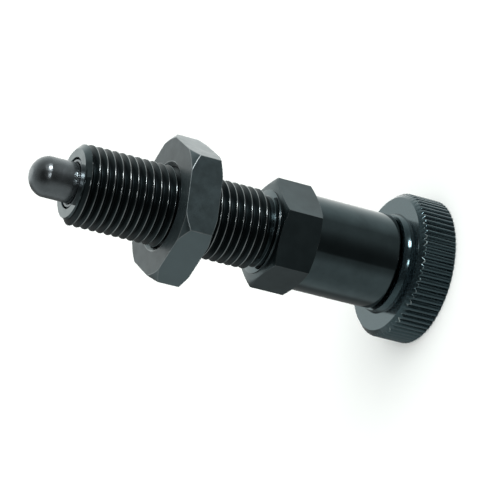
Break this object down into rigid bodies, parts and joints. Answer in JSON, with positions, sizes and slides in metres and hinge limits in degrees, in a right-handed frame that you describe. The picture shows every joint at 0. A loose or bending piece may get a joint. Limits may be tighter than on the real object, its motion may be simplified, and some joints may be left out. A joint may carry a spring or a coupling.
{
  "type": "indexing plunger",
  "caption": "Spring-loaded indexing plunger: fluted pull knob, smooth sleeve, hexagon collar, fine-threaded barrel with a thin lock nut, and a rounded pin that retracts when the knob is pulled.",
  "frame": {"origin": "centre of the knob's flat outer face, on which the plunger stands", "axes": "+Z along the plunger's axis towards the pin's nose, +X through a corner of the hexagon collar"},
  "size_m": [0.0182, 0.0184, 0.0527],
  "materials": {
    "housing": "black oxide, satin",
    "bush": "black oxide, satin",
    "pin": "black oxide, ground",
    "spring": "drawn wire",
    "insert": "turned",
    "knob": "black, glossy",
    "nut": "black oxide, satin"
  },
  "bodies": {
    "housing": {"housing": "housing", "guide_bush": "bush"},
    "spring": {"return_spring": "spring"},
    "plunger": {"plunger_pin": "pin", "knob_insert": "insert", "knob": "knob"},
    "nut": {"lock_nut": "nut"}
  },
  "joints": [
    {"name": "knob_turn", "type": "hinge", "parent": "housing", "child": "spring", "pos_m": [0, 0, 0.0205], "axis": [0, 0, 1], "continuous": true},
    {"name": "plunger_pull", "type": "slide", "parent": "spring", "child": "plunger", "axis": [0, 0, -1], "range_m": [0, 0.0052], "stiffness_N_per_m": 1000, "springref_m": -0.0053, "deforming": ["return_spring"]},
    {"name": "lock_nut_travel", "type": "slide", "parent": "housing", "child": "nut", "axis": [0, 0, 1], "range_m": [-0.0092, 0.0111]}
  ]
}
